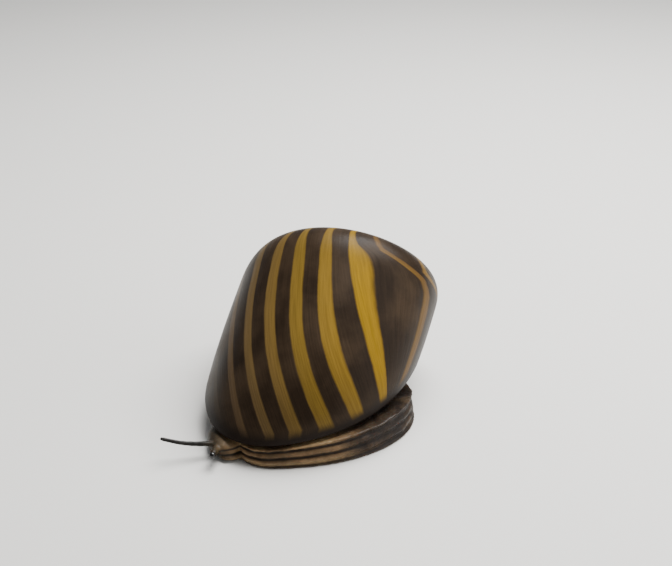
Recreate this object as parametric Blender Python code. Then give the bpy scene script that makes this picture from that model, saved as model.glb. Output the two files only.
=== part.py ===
"""A nerite snail, life size, creeping with its head towards -Y and its left side towards +X.

Units are metres with +Z up, and the sole stands on z = 0. Lengths below are written in
millimetres times MM. The shell is a dextral coil: a D-shaped section grows as it turns about
an axis whose pole, the apex, points to the right, the rear and up. It is cut off by the plane
of its lip. The soft parts are set out from that plane, from the rim and from the foot's edge.
"""

import math

import bmesh
import bpy
from mathutils import Vector

OBJECT_NAME = "nerite_snail"
MM = 0.001
GAP = 0.3 * MM
CREASE = math.radians(40)
CUTTER_SIZE = 90 * MM

# Shell coil
POLE = Vector((-6.55, 7.55, 10.3)) * MM
AXIS_TURN = math.radians(29.6)
AXIS_RISE = math.radians(37.2)
CREST_SIZE = 6.34 * MM
GROWTH_PER_TURN = 2.54
TUBE_OFFSET = 0.36
UPPER_HALF = 0.72
LOWER_HALF = 2.6
SPIRE_DROP = 0.9
SQUARENESS = 2.8
FIRST_TURN = math.radians(-1080)
LAST_TURN = math.radians(190)
COIL_STEPS = 140
SECTION_POINTS = 28
INNER_WALL = 0.05

# Last stretch of the coil, which sinks along the axis to meet the lip
SINK_FROM = math.radians(110)
SINK = 0.08

# Columella, the pillar about the axis
PILLAR_TOP = 0.15 * MM
PILLAR_FOOT = 2.2 * MM
PILLAR_LENGTH = 14.0 * MM
PILLAR_DROP = 0.6 * MM
PILLAR_SIDES = 16

# Plane of the lip: height over the origin and rise towards the rear and the right
LIP_HEIGHT = 3.3 * MM
LIP_RISE_REAR = math.tan(math.radians(5.0))
LIP_RISE_RIGHT = math.tan(math.radians(5.0))
LIP_WALL = 1.1 * MM
APERTURE_DEPTH = 1.9 * MM
APERTURE_TAPER = 0.5 * MM

# Aperture: a middle on its own side of the deck, and the deck's straight edge
APERTURE_MIDDLE = Vector((-1.55, -1.55, 0.0)) * MM
DECK_POINT = Vector((2.55, 2.85, 0.0)) * MM
DECK_NORMAL = Vector((math.sin(AXIS_TURN), math.cos(AXIS_TURN), 0.0))
RIM_STEPS = 60
RIM_SEARCH = 24 * MM
RIM_NEARNESS = 0.005 * MM
ANGLE_NEARNESS = 1e-6

# Foot
FOOT_MIDDLE = Vector((4.25, -0.95, 0.0)) * MM
FOOT_HALF_WIDTH = 7.2 * MM
FOOT_FRONT = 5.8 * MM
FOOT_REAR = 10.2 * MM
FOOT_BLUNTNESS = 3.5
FOOT_TOP = 2.0 * MM
FOOT_FALL_RIGHT = 0.06
FOOT_RIDGES = 3
FOOT_RINGS = 12
RIDGE_DEPTH = 0.28 * MM
SOLE_INSET = 0.5 * MM
FOOT_DRAW_IN = 0.25 * MM
OVAL_STEPS = 48

# Column of flesh from the foot up to the aperture
COLUMN_MIDDLE = Vector((1.25, -1.15, 0.0)) * MM
COLUMN_HALF_WIDTH = 4.6 * MM
COLUMN_HALF_LENGTH = 5.6 * MM

# Operculum
LID_MIDDLE = Vector((0.65, 6.15, 0.0)) * MM
LID_HALF_LENGTH = 3.6 * MM
LID_HALF_WIDTH = 1.9 * MM
LID_THICK = 0.8 * MM
LID_EDGE = 0.25 * MM
LID_FLATTENED = 0.45
LID_STEPS = 28

# Head and snout
HEAD_MIDDLE = Vector((7.6, -7.0, 0.9)) * MM
HEAD_HALF = Vector((1.95, 1.45, 0.75)) * MM
HEAD_BLUNTNESS = 2.4
HEAD_SEGMENTS = 20
HEAD_RINGS = 12
SNOUT_CUT_Y = -7.7 * MM
MOUTH_HEIGHT = 0.35 * MM
MOUTH_HALF = Vector((0.8, 0.42, 0.17)) * MM

# Tentacles and eyes
TENTACLE_ROOT = 0.32 * MM
TENTACLE_TIP = 0.2 * MM
LEFT_TENTACLE = (
    Vector((8.55, -6.95, 1.1)) * MM,
    Vector((8.65, -9.1, 1.27)) * MM,
    Vector((8.72, -10.6, 1.55)) * MM,
    Vector((8.7, -12.25, 2.1)) * MM,
)
RIGHT_TENTACLE = (
    Vector((6.6, -7.6, 1.1)) * MM,
    Vector((5.1, -7.98, 1.1)) * MM,
    Vector((3.7, -7.95, 1.2)) * MM,
    Vector((2.3, -7.7, 1.35)) * MM,
)
TENTACLE_LENGTHS = ("base", "middle", "tip")
TUBE_SIDES = 12
EYE_RADIUS = 0.26 * MM
STALK_RADIUS = 0.3 * MM
STALK_ROOT = Vector((0.8, -0.6, 0.0)) * MM
LEFT_EYE = Vector((10.38, -8.2, 1.25)) * MM
RIGHT_EYE = Vector((4.6, -7.12, 1.3)) * MM

# Finishes: colour, roughness
FINISHES = {
    "shell": ((0.045, 0.028, 0.012), 0.25),
    "mantle": ((0.10, 0.08, 0.06), 0.5),
    "foot": ((0.13, 0.095, 0.06), 0.5),
    "head": ((0.06, 0.055, 0.045), 0.5),
    "eye": ((0.01, 0.01, 0.01), 0.15),
    "operculum": ((0.12, 0.09, 0.07), 0.4),
}

AXIS = Vector((
    -math.cos(AXIS_RISE) * math.cos(AXIS_TURN),
    math.cos(AXIS_RISE) * math.sin(AXIS_TURN),
    math.sin(AXIS_RISE),
))
CREST = (Vector((0, 0, 1)) - AXIS * AXIS.z).normalized()
FORWARD = CREST.cross(AXIS)
LIP_NORMAL = Vector((LIP_RISE_RIGHT, -LIP_RISE_REAR, 1.0)).normalized()


def clear_scene():
    for old in list(bpy.data.objects):
        bpy.data.objects.remove(old)


def material(name):
    colour, roughness = FINISHES[name]
    if name in bpy.data.materials:
        return bpy.data.materials[name]
    made = bpy.data.materials.new(name)
    made.use_nodes = True
    shader = made.node_tree.nodes["Principled BSDF"]
    shader.inputs["Base Color"].default_value = (*colour, 1.0)
    shader.inputs["Roughness"].default_value = roughness
    shader.inputs["Metallic"].default_value = 0.0
    return made


def add_object(name, bm, finish):
    """Closes the bmesh into one named object with its faces pointing out."""
    bm.normal_update()
    bmesh.ops.recalc_face_normals(bm, faces=bm.faces)
    mesh = bpy.data.meshes.new(name)
    bm.to_mesh(mesh)
    bm.free()
    mesh.materials.append(material(finish))
    mesh.shade_smooth()
    mesh.set_sharp_from_angle(angle=CREASE)
    made = bpy.data.objects.new(name, mesh)
    bpy.data.collections[OBJECT_NAME].objects.link(made)
    return made


def loft(rings, name, finish):
    """A closed body through rings of equal count, with flat ends."""
    bm = bmesh.new()
    rows = [[bm.verts.new(point) for point in ring] for ring in rings]
    count = len(rows[0])
    for low, high in zip(rows, rows[1:]):
        for i in range(count):
            j = (i + 1) % count
            bm.faces.new((low[i], low[j], high[j], high[i]))
    bm.faces.new(list(reversed(rows[0])))
    bm.faces.new(rows[-1])
    bmesh.ops.triangulate(bm, faces=bm.faces)
    return add_object(name, bm, finish)


def lip_height(x, y):
    return LIP_HEIGHT + LIP_RISE_REAR * y - LIP_RISE_RIGHT * x


def foot_top(x, y):
    left_edge = FOOT_MIDDLE.x + FOOT_HALF_WIDTH
    return FOOT_TOP + LIP_RISE_REAR * y - FOOT_FALL_RIGHT * (left_edge - x)


def apply_boolean(target, other, operation, use_self=False):
    """Joins the other to the target, or cuts it from it, and removes the other."""
    group = bpy.data.collections.new("joining")
    group.objects.link(other)
    change = target.modifiers.new("join", "BOOLEAN")
    change.operation = operation
    change.solver = "EXACT"
    change.use_self = use_self
    change.operand_type = "COLLECTION"
    change.collection = group
    graph = bpy.context.evaluated_depsgraph_get()
    shape = bpy.data.meshes.new_from_object(target.evaluated_get(graph))
    target.modifiers.clear()
    target.data = shape
    bpy.data.objects.remove(other)
    bpy.data.collections.remove(group)
    keep_largest(target)


def keep_largest(target):
    """Keeps the largest closed surface of a mesh."""
    bm = bmesh.new()
    bm.from_mesh(target.data)
    bmesh.ops.triangulate(bm, faces=bm.faces)
    left = set(bm.verts)
    shells = []
    while left:
        stack = [left.pop()]
        shell = set(stack)
        while stack:
            for edge in stack.pop().link_edges:
                for vert in edge.verts:
                    if vert in left:
                        left.discard(vert)
                        shell.add(vert)
                        stack.append(vert)
        shells.append(shell)
    shells.sort(key=len)
    loose = [vert for shell in shells[:-1] for vert in shell]
    bmesh.ops.delete(bm, geom=loose, context="VERTS")
    bm.to_mesh(target.data)
    bm.free()
    target.data.shade_smooth()
    target.data.set_sharp_from_angle(angle=CREASE)


def bulge(across, along, power):
    """Reach of a superellipse of unit size in a direction."""
    return (abs(across) ** power + abs(along) ** power) ** (-1 / power)


def section_point(angle):
    """Distance from the axis and height along it, as shares of the coil's size."""
    across = math.cos(angle)
    along = math.sin(angle)
    reach = bulge(across, along, SQUARENESS)
    half = UPPER_HALF if along > 0 else LOWER_HALF
    return TUBE_OFFSET + across * reach, half * along * reach - SPIRE_DROP


def section_edge(side):
    """The section's angle, above or below, where it reaches the inner wall."""
    near, far = math.pi / 2, math.pi
    while far - near > ANGLE_NEARNESS:
        middle = (near + far) / 2
        if section_point(side * middle)[0] > INNER_WALL:
            near = middle
        else:
            far = middle
    return near


def coil_size(turn):
    return CREST_SIZE * GROWTH_PER_TURN ** (turn / math.tau)


def coil_sink(turn):
    """How far the section has sunk along the axis, as a share of the coil's size."""
    share = (turn - SINK_FROM) / (LAST_TURN - SINK_FROM)
    share = min(max(share, 0.0), 1.0)
    return SINK * share * share * (3 - 2 * share)


def coil_point(turn, out, up):
    size = coil_size(turn)
    spoke = CREST * math.cos(turn) + FORWARD * math.sin(turn)
    return POLE + spoke * (size * out) + AXIS * (size * (up - coil_sink(turn)))


def inside_shell(point):
    """Whether a point lies inside any turn of the coil."""
    offset = point - POLE
    up = offset.dot(AXIS)
    flat = offset - AXIS * up
    out = flat.length
    turn = math.atan2(flat.dot(FORWARD), flat.dot(CREST))
    for whole in (-3, -2, -1, 0, 1):
        here = turn + whole * math.tau
        if here > LAST_TURN:
            continue
        size = coil_size(here)
        along = up / size + SPIRE_DROP + coil_sink(here)
        half = UPPER_HALF if along > 0 else LOWER_HALF
        reach = abs(out / size - TUBE_OFFSET) ** SQUARENESS + abs(along / half) ** SQUARENESS
        if reach < 1 or (out / size < TUBE_OFFSET and abs(along) < half):
            return True
    return False


def rim_radius(angle):
    """Distance on the lip's plane from the aperture's middle to the shell's outer rim."""
    spoke = Vector((math.cos(angle), math.sin(angle), 0.0))
    near, far = 0.0, RIM_SEARCH
    while far - near > RIM_NEARNESS:
        middle = (near + far) / 2
        point = APERTURE_MIDDLE + spoke * middle
        point.z = lip_height(point.x, point.y)
        if inside_shell(point):
            near = middle
        else:
            far = middle
    return near


def aperture_ring(inset, rise):
    """The D of the aperture: the rim drawn in, cut straight along the deck."""
    ring = []
    for i in range(RIM_STEPS):
        angle = math.tau * i / RIM_STEPS
        spoke = Vector((math.cos(angle), math.sin(angle), 0.0))
        reach = rim_radius(angle) - inset
        toward = spoke.dot(DECK_NORMAL)
        if toward > 0:
            room = (DECK_POINT - APERTURE_MIDDLE).dot(DECK_NORMAL) - inset
            reach = min(reach, room / toward)
        point = APERTURE_MIDDLE + spoke * reach
        point.z = lip_height(point.x, point.y) + rise
        ring.append(point)
    return ring


def oval(middle, half_width, front, rear, front_power=2.0):
    """Points of an egg-shaped outline about a middle, blunter at the front."""
    points = []
    for i in range(OVAL_STEPS):
        angle = math.tau * i / OVAL_STEPS
        across = math.cos(angle)
        along = math.sin(angle)
        power = 2.0 if along > 0 else front_power
        length = rear if along > 0 else front
        reach = bulge(across, along, power)
        points.append(middle + Vector((across * reach * half_width, along * reach * length, 0.0)))
    return points


def foot_ring(inset, share):
    """The foot's edge drawn in, at a share of the way from the floor to its top."""
    ring = oval(FOOT_MIDDLE, FOOT_HALF_WIDTH - inset, FOOT_FRONT - inset, FOOT_REAR - inset,
                FOOT_BLUNTNESS)
    for point in ring:
        point.z = foot_top(point.x, point.y) * share
    return ring


def egg(name, finish, middle, half, power=HEAD_BLUNTNESS):
    """A blunt egg: a sphere primitive whose points are pushed out to a superellipsoid."""
    bm = bmesh.new()
    bmesh.ops.create_uvsphere(bm, u_segments=HEAD_SEGMENTS, v_segments=HEAD_RINGS, radius=1.0)
    for vert in bm.verts:
        reach = sum(abs(c) ** power for c in vert.co) ** (-1 / power)
        vert.co = Vector([c * reach * h for c, h in zip(vert.co, half)]) + middle
    bmesh.ops.triangulate(bm, faces=bm.faces)
    return add_object(name, bm, finish)


def half_space(name, finish, face, normal):
    """A large cube used as a cutter: one face passes a point, the rest lies behind it."""
    bm = bmesh.new()
    bmesh.ops.create_cube(bm, size=CUTTER_SIZE)
    turn = normal.to_track_quat("Z", "Y")
    middle = face - normal * (CUTTER_SIZE / 2)
    for vert in bm.verts:
        vert.co = turn @ vert.co + middle
    return add_object(name, bm, finish)


def cone(name, finish, start, end, radii, sides):
    """A cone or cylinder primitive between two points."""
    bm = bmesh.new()
    length = (end - start).length
    bmesh.ops.create_cone(bm, cap_ends=True, segments=sides, radius1=radii[0],
                          radius2=radii[1], depth=length)
    turn = (end - start).to_track_quat("Z", "Y")
    middle = (start + end) / 2
    for vert in bm.verts:
        vert.co = turn @ vert.co + middle
    bmesh.ops.triangulate(bm, faces=bm.faces)
    return add_object(name, bm, finish)


def make_shell():
    low, high = -section_edge(-1), section_edge(1)
    angles = [low + (high - low) * i / SECTION_POINTS for i in range(SECTION_POINTS + 1)]
    profile = [section_point(angle) for angle in angles]
    rings = []
    for i in range(COIL_STEPS + 1):
        turn = FIRST_TURN + (LAST_TURN - FIRST_TURN) * i / COIL_STEPS
        rings.append([coil_point(turn, out, up) for out, up in profile])
    shell = loft(rings, "shell", "shell")
    top = POLE - AXIS * PILLAR_DROP
    pillar = cone("pillar", "shell", top - AXIS * PILLAR_LENGTH, top,
                  (PILLAR_FOOT, PILLAR_TOP), PILLAR_SIDES)
    apply_boolean(shell, pillar, "UNION", use_self=True)
    below = half_space("below", "shell", Vector((0, 0, LIP_HEIGHT)), LIP_NORMAL)
    apply_boolean(shell, below, "DIFFERENCE")
    rings = [
        aperture_ring(LIP_WALL, -APERTURE_DEPTH),
        aperture_ring(LIP_WALL, 0.0),
        aperture_ring(LIP_WALL + APERTURE_TAPER, APERTURE_DEPTH),
    ]
    mouth = loft(rings, "mouth", "shell")
    apply_boolean(shell, mouth, "DIFFERENCE")


def make_mantle():
    rings = [
        aperture_ring(LIP_WALL + GAP, 0.0),
        aperture_ring(LIP_WALL + GAP + APERTURE_TAPER, APERTURE_DEPTH - GAP),
    ]
    loft(rings, "mantle", "mantle")


def make_foot():
    rings = [foot_ring(SOLE_INSET, 0.0)]
    for i in range(1, FOOT_RINGS + 1):
        share = i / FOOT_RINGS
        groove = 0.5 - 0.5 * math.cos(math.tau * FOOT_RIDGES * share)
        rings.append(foot_ring(RIDGE_DEPTH * groove + FOOT_DRAW_IN * share, share))
    foot = loft(rings, "foot", "foot")
    room = Vector((HEAD_HALF.x + GAP, HEAD_HALF.y + GAP, CUTTER_SIZE))
    apply_boolean(foot, egg("notch", "foot", HEAD_MIDDLE, room), "DIFFERENCE")


def make_column():
    low = oval(COLUMN_MIDDLE, COLUMN_HALF_WIDTH, COLUMN_HALF_LENGTH, COLUMN_HALF_LENGTH)
    high = [point.copy() for point in low]
    for foot_side, lip_side in zip(low, high):
        foot_side.z = foot_top(foot_side.x, foot_side.y) + GAP
        lip_side.z = lip_height(lip_side.x, lip_side.y) - GAP
    column = loft([low, high], "body_column", "foot")
    deck = DECK_POINT - DECK_NORMAL * (LIP_WALL + GAP)
    behind = half_space("behind", "foot", deck, -DECK_NORMAL)
    apply_boolean(column, behind, "DIFFERENCE")


def make_operculum():
    along_lid = Vector((math.cos(AXIS_TURN), -math.sin(AXIS_TURN), 0.0))
    across_lid = Vector((math.sin(AXIS_TURN), math.cos(AXIS_TURN), 0.0))
    rings = []
    for rise, inset in ((0.0, LID_EDGE), (LID_EDGE, 0.0), (LID_THICK - LID_EDGE, 0.0),
                        (LID_THICK, LID_EDGE)):
        ring = []
        for i in range(LID_STEPS):
            angle = math.tau * i / LID_STEPS
            along = math.cos(angle) * (LID_HALF_LENGTH - inset)
            across = math.sin(angle) * (LID_HALF_WIDTH - inset)
            if across < 0:
                across *= LID_FLATTENED
            point = LID_MIDDLE + along_lid * along + across_lid * across
            point.z = foot_top(point.x, point.y) + GAP + rise
            ring.append(point)
        rings.append(ring)
    loft(rings, "operculum", "operculum")


def make_head():
    head = egg("head", "head", HEAD_MIDDLE, HEAD_HALF)
    snout = egg("snout", "head", HEAD_MIDDLE, HEAD_HALF)
    ahead = Vector((0, -1, 0))
    front = half_space("front", "head", Vector((0, SNOUT_CUT_Y, 0)), -ahead)
    apply_boolean(head, front, "DIFFERENCE")
    rear = half_space("rear", "head", Vector((0, SNOUT_CUT_Y - GAP, 0)), ahead)
    apply_boolean(snout, rear, "DIFFERENCE")
    mouth = Vector((HEAD_MIDDLE.x, HEAD_MIDDLE.y - HEAD_HALF.y, MOUTH_HEIGHT))
    apply_boolean(snout, egg("lips", "head", mouth, MOUTH_HALF), "DIFFERENCE")


def clear_of_head(target):
    """Cuts a piece back to the gap about the head and the snout."""
    room = HEAD_HALF + Vector((GAP, GAP, GAP))
    apply_boolean(target, egg("room", "head", HEAD_MIDDLE, room), "DIFFERENCE")


def make_tentacle(side, points):
    step = (TENTACLE_TIP - TENTACLE_ROOT) / len(TENTACLE_LENGTHS)
    for i, part in enumerate(TENTACLE_LENGTHS):
        start, end = points[i], points[i + 1]
        if i > 0:
            start = start + (end - start).normalized() * GAP
        radii = (TENTACLE_ROOT + step * i, TENTACLE_ROOT + step * (i + 1))
        piece = cone(f"tentacle_{side}_{part}", "head", start, end, radii, TUBE_SIDES)
        if i == 0:
            clear_of_head(piece)


def make_eye(side, middle):
    sign = 1 if middle.x > HEAD_MIDDLE.x else -1
    root = HEAD_MIDDLE + Vector((sign * STALK_ROOT.x, STALK_ROOT.y, 0.0))
    end = middle - (middle - root).normalized() * (EYE_RADIUS + GAP)
    stalk = cone(f"eyestalk_{side}", "head", root, end, (STALK_RADIUS, STALK_RADIUS), TUBE_SIDES)
    clear_of_head(stalk)
    egg(f"eye_{side}", "eye", middle, Vector((EYE_RADIUS,) * 3), 2.0)


def main():
    clear_scene()
    collection = bpy.data.collections.new(OBJECT_NAME)
    bpy.context.scene.collection.children.link(collection)
    make_shell()
    make_mantle()
    make_foot()
    make_column()
    make_operculum()
    make_head()
    make_tentacle("left", LEFT_TENTACLE)
    make_tentacle("right", RIGHT_TENTACLE)
    make_eye("left", LEFT_EYE)
    make_eye("right", RIGHT_EYE)


main()
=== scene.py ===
"""Looks of a life-size nerite snail: a striped coiled shell over one seamless skin.

Lengths are metres, written as millimetres times MM, unless a docstring or a comment says that
they are in millimetres. The head points to -Y, the animal's left side to +X, and the sole stands
on z = 0. The coil, its lip and the stripes' paths across it set out the shell, and the skin is
set out from the lip, from the mouth and from the floor.
"""

import sys
import logging
import math
import random
from dataclasses import dataclass, field
from enum import Enum
from typing import Sequence

import bmesh
import bpy
from mathutils import Matrix, Vector


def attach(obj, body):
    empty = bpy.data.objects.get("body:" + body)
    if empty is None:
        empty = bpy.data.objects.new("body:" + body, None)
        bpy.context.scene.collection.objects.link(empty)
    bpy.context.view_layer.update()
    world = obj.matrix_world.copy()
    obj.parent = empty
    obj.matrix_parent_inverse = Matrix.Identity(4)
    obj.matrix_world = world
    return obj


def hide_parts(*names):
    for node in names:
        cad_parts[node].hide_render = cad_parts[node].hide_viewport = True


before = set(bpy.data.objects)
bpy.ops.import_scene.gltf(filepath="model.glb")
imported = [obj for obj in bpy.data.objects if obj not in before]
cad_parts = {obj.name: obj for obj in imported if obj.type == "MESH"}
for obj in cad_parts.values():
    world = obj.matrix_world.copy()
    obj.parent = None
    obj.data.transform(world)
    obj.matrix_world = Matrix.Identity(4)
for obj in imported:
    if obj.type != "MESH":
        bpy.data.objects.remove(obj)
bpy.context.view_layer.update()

logging.basicConfig(level=logging.INFO, format="%(name)s: %(message)s", stream=sys.stdout)
LOG = logging.getLogger("nerite")

MM = 0.001
UP = Vector((0.0, 0.0, 1.0))

Socket = bpy.types.NodeSocket
Colour = tuple[float, float, float, float]
Place = tuple[float, float, float]


class Joining(Enum):
    """What becomes of a body that is put to another."""

    UNION = "UNION"
    CUT = "DIFFERENCE"


class Maths(Enum):
    """Operations of a maths node."""

    ADD = "ADD"
    SUBTRACT = "SUBTRACT"
    MULTIPLY = "MULTIPLY"
    MULTIPLY_ADD = "MULTIPLY_ADD"
    DIVIDE = "DIVIDE"
    ABSOLUTE = "ABSOLUTE"
    ROUND = "ROUND"


class Easing(Enum):
    """How a value goes from one limit to the other."""

    SMOOTH = "SMOOTHSTEP"
    EVEN = "LINEAR"


class Blend(Enum):
    """How one colour is laid over another."""

    COVER = "MIX"
    TINT = "MULTIPLY"


@dataclass(frozen=True)
class Fade:
    """A result that goes from start to end while a value goes from low to high."""

    low: float
    high: float
    start: float = 0.0
    end: float = 1.0


# Helpers for meshes


def place_mm(x: float, y: float, z: float) -> Vector:
    """Makes a dataclass field that holds a point given in millimetres.

    Args:
        x: The point's place to the animal's left.
        y: The point's place to the rear.
        z: The point's height.

    Returns:
        The field, whose value is the point in metres.
    """
    return field(default_factory=lambda: Vector((x, y, z)) * MM)


def deselect() -> None:
    """Clears the selection, so that the next operator works on its own object."""
    for item in bpy.context.selected_objects:
        item.select_set(False)


def activate(target: bpy.types.Object) -> None:
    """Selects one object alone and makes it active.

    Args:
        target: The object that the next operator works on.
    """
    deselect()
    target.select_set(True)
    bpy.context.view_layer.objects.active = target


def apply_modifier(target: bpy.types.Object, kind: str, **settings: object) -> None:
    """Adds a modifier with its settings and applies it.

    Args:
        target: The object to change.
        kind: The modifier's type.
        **settings: Property names and values of the modifier.
    """
    activate(target)
    change = target.modifiers.new("step", kind)
    for name, value in settings.items():
        setattr(change, name, value)
    bpy.ops.object.modifier_apply(modifier=change.name)


def combine(target: bpy.types.Object, other: bpy.types.Object, joining: Joining) -> None:
    """Joins another object to the target or cuts it away, and removes it.

    Args:
        target: The object that stays.
        other: The object that is used up.
        joining: Whether the other is added or cut away.
    """
    apply_modifier(target, "BOOLEAN", object=other, operation=joining.value, solver="MANIFOLD")
    bpy.data.objects.remove(other)


def dress(target: bpy.types.Object, material: bpy.types.Material) -> None:
    """Gives an object one material alone.

    Args:
        target: The object to dress.
        material: Its material.
    """
    target.data.materials.clear()
    target.data.materials.append(material)


def new_object(name: str, bm: bmesh.types.BMesh) -> bpy.types.Object:
    """Turns a bmesh into a linked object with its faces pointing out.

    Args:
        name: The object's name.
        bm: The geometry, which is freed.

    Returns:
        The new object, at the origin.
    """
    bm.normal_update()
    bmesh.ops.recalc_face_normals(bm, faces=bm.faces)
    mesh = bpy.data.meshes.new(name)
    bm.to_mesh(mesh)
    bm.free()
    made = bpy.data.objects.new(name, mesh)
    bpy.context.scene.collection.objects.link(made)
    return made


def loft(name: str, rings: Sequence[Sequence[Vector]]) -> bpy.types.Object:
    """Skins rings of equal count into one closed body with flat ends.

    No operator skins rings whose shape changes from one to the next, as the foot's and the
    mouth's do.

    Args:
        name: The object's name.
        rings: Closed rings of points, in order.

    Returns:
        The lofted object.
    """
    bm = bmesh.new()
    rows = [[bm.verts.new(point) for point in ring] for ring in rings]
    count = len(rows[0])
    for low, high in zip(rows, rows[1:]):
        for i in range(count):
            j = (i + 1) % count
            bm.faces.new((low[i], low[j], high[j], high[i]))
    bm.faces.new(list(reversed(rows[0])))
    bm.faces.new(rows[-1])
    return new_object(name, bm)


def smoothstep(low: float, high: float, value: float) -> float:
    """Eases from 0 at the low limit to 1 at the high one."""
    share = min(max((value - low) / (high - low), 0.0), 1.0)
    return share * share * (3.0 - 2.0 * share)


def bulge(across: float, along: float, power: float) -> float:
    """Returns the reach of a unit superellipse in a direction."""
    return (abs(across) ** power + abs(along) ** power) ** (-1.0 / power)


def spoke_at(angle: float) -> Vector:
    """Returns the level direction at an angle from the animal's left."""
    return Vector((math.cos(angle), math.sin(angle), 0.0))


# Helpers for finishes


def linear(code: str) -> Colour:
    """Turns an sRGB hex colour into linear red, green, blue and alpha.

    Args:
        code: Six hex digits after a hash.

    Returns:
        The linear colour, opaque.
    """
    values = [int(code[i:i + 2], 16) / 255 for i in (1, 3, 5)]
    red, green, blue = (
        v / 12.92 if v <= 0.04045 else ((v + 0.055) / 1.055) ** 2.4 for v in values
    )
    return red, green, blue, 1.0


def grey(value: float) -> Colour:
    """Returns a linear grey of a value."""
    return value, value, value, 1.0


class Shading:
    """One node material under construction."""

    def __init__(self, name: str) -> None:
        """Starts a material with only a Principled shader and its output.

        Args:
            name: The material's name.
        """
        self.material = bpy.data.materials.new(name)
        self.material.use_nodes = True
        self.tree = self.material.node_tree
        self.shader = self.tree.nodes["Principled BSDF"]

    def add(self, kind: str, inputs: dict | None = None, **settings: object) -> bpy.types.Node:
        """Adds a node with its settings, values and links.

        Args:
            kind: The node's type name.
            inputs: Input names or numbers, each with a value or an output to link.
            **settings: Property names and values of the node.

        Returns:
            The new node.
        """
        made = self.tree.nodes.new(kind)
        for name, value in settings.items():
            setattr(made, name, value)
        self.feed(made, inputs or {})
        return made

    def feed(self, node: bpy.types.Node, inputs: dict) -> None:
        """Sets or links a node's inputs.

        Args:
            node: The node to feed.
            inputs: Input names or numbers, each with a value or an output to link.
        """
        for key, value in inputs.items():
            if isinstance(value, Socket):
                self.tree.links.new(value, node.inputs[key])
            else:
                node.inputs[key].default_value = value

    def maths(self, operation: Maths, *values: float | Socket) -> Socket:
        """Works on numbers.

        Args:
            operation: What is done with them.
            *values: Numbers or outputs.

        Returns:
            The result.
        """
        node = self.add("ShaderNodeMath", dict(enumerate(values)), operation=operation.value)
        return node.outputs[0]

    def step(self, value: Socket, low: float | Socket, high: float | Socket,
             start: float = 0.0, end: float = 1.0, easing: Easing = Easing.SMOOTH) -> Socket:
        """Takes a value from start to end between two limits.

        Args:
            value: The output to map.
            low: The lower limit.
            high: The upper limit.
            start: The result at the lower limit.
            end: The result at the upper limit.
            easing: How the result goes from one to the other.

        Returns:
            The mapped result.
        """
        node = self.add("ShaderNodeMapRange", {
            "Value": value, "From Min": low, "From Max": high, "To Min": start, "To Max": end,
        }, interpolation_type=easing.value)
        return node.outputs[0]

    def fade(self, value: Socket, fade: Fade) -> Socket:
        """Eases a value as a named fade says."""
        return self.step(value, fade.low, fade.high, fade.start, fade.end)

    def mix(self, share: float | Socket, first: Colour | Socket, second: Colour | Socket,
            blend: Blend = Blend.COVER) -> Socket:
        """Lays a second colour over the first.

        Args:
            share: How much of the second colour shows.
            first: The first colour.
            second: The second colour.
            blend: How the second is laid over the first.

        Returns:
            The blended colour.
        """
        node = self.add("ShaderNodeMix", data_type="RGBA", blend_type=blend.value)
        self.feed(node, {0: share, 6: first, 7: second})
        return node.outputs[2]

    def tint(self, colour: Socket, strength: Socket) -> Socket:
        """Darkens or lightens a colour.

        Args:
            colour: The colour to change.
            strength: What each channel is multiplied by.

        Returns:
            The changed colour.
        """
        levels = self.add("ShaderNodeCombineXYZ", {0: strength, 1: strength, 2: strength})
        return self.mix(1.0, colour, levels.outputs[0], Blend.TINT)

    def ramp(self, value: Socket, stops: Sequence[tuple[float, Colour]]) -> Socket:
        """Looks a value up in a row of colours.

        Args:
            value: The output that is looked up.
            stops: Positions from 0 to 1, each with its linear colour.

        Returns:
            The colour found.
        """
        node = self.add("ShaderNodeValToRGB", {0: value})
        ramp = node.color_ramp
        while len(ramp.elements) < len(stops):
            ramp.elements.new(0.5)
        for element, (position, colour) in zip(ramp.elements, stops):
            element.position = position
            element.color = colour
        return node.outputs[0]

    def noise(self, size: float, place: Socket, detail: float = 3.0,
              roughness: float = 0.5) -> Socket:
        """Adds a noise pattern.

        Args:
            size: Length of one wave, in the units of the place's coordinates.
            place: The coordinates to look up.
            detail: Octaves of finer noise.
            roughness: Strength of the finer octaves.

        Returns:
            The noise's value from 0 to 1.
        """
        node = self.add("ShaderNodeTexNoise", {
            "Vector": place, "Scale": 1.0 / size, "Detail": detail, "Roughness": roughness})
        return node.outputs[0]

    def sway(self, noise: Socket, reach: float) -> Socket:
        """Returns a noise about zero, with its whole span given."""
        return self.maths(Maths.MULTIPLY, self.maths(Maths.SUBTRACT, noise, 0.5), reach)

    def off(self, value: Socket, middle: float | Socket) -> Socket:
        """Returns how far a value is from a middle."""
        return self.maths(Maths.ABSOLUTE, self.maths(Maths.SUBTRACT, value, middle))

    def bump(self, height: Socket, strength: float, distance: float,
             normal: Socket | None = None) -> Socket:
        """Adds relief.

        Args:
            height: The height's output.
            strength: Share of the relief that shows.
            distance: The relief's real height.
            normal: An earlier relief to build on.

        Returns:
            The bumped normal.
        """
        inputs = {"Height": height, "Strength": strength, "Distance": distance}
        if normal is not None:
            inputs["Normal"] = normal
        return self.add("ShaderNodeBump", inputs).outputs[0]

    def place(self) -> Socket:
        """Returns the object coordinates, which are the frame's metres."""
        return self.add("ShaderNodeTexCoord").outputs["Object"]

    def parts(self, place: Socket) -> Sequence[Socket]:
        """Returns the three parts of a place."""
        return self.add("ShaderNodeSeparateXYZ", {0: place}).outputs


# The coil and the plane of its lip


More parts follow.
